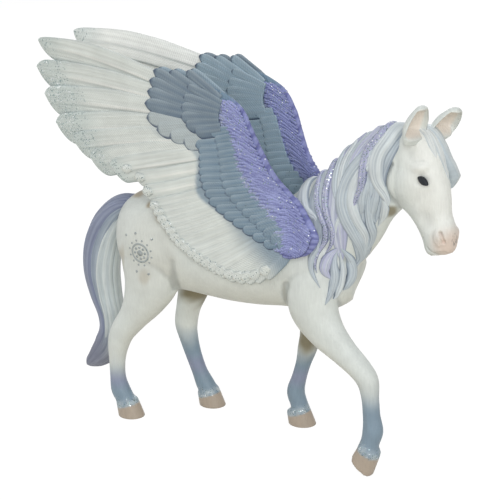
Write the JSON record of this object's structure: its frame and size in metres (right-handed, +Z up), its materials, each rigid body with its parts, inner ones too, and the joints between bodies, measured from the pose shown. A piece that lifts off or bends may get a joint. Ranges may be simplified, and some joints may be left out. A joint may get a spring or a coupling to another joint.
{
  "type": "pegasus figurine",
  "caption": "Walking winged horse figurine in painted plastic, with raised feathered wings, a long wavy mane and a flowing tail.",
  "frame": {"origin": "middle of the figure's box, on the surface that the hooves stand on", "axes": "+X forwards to the muzzle, +Y to the horse's left, +Z up"},
  "size_m": [0.1416, 0.0324, 0.1263],
  "materials": {
    "painted_horse": "satin pearl paint over moulded plastic",
    "painted_wing": "satin pearl paint with glitter over moulded plastic"
  },
  "bodies": {
    "root": {"horse": "painted_horse", "right_wing": "painted_wing", "left_wing": "painted_wing"}
  },
  "joints": []
}
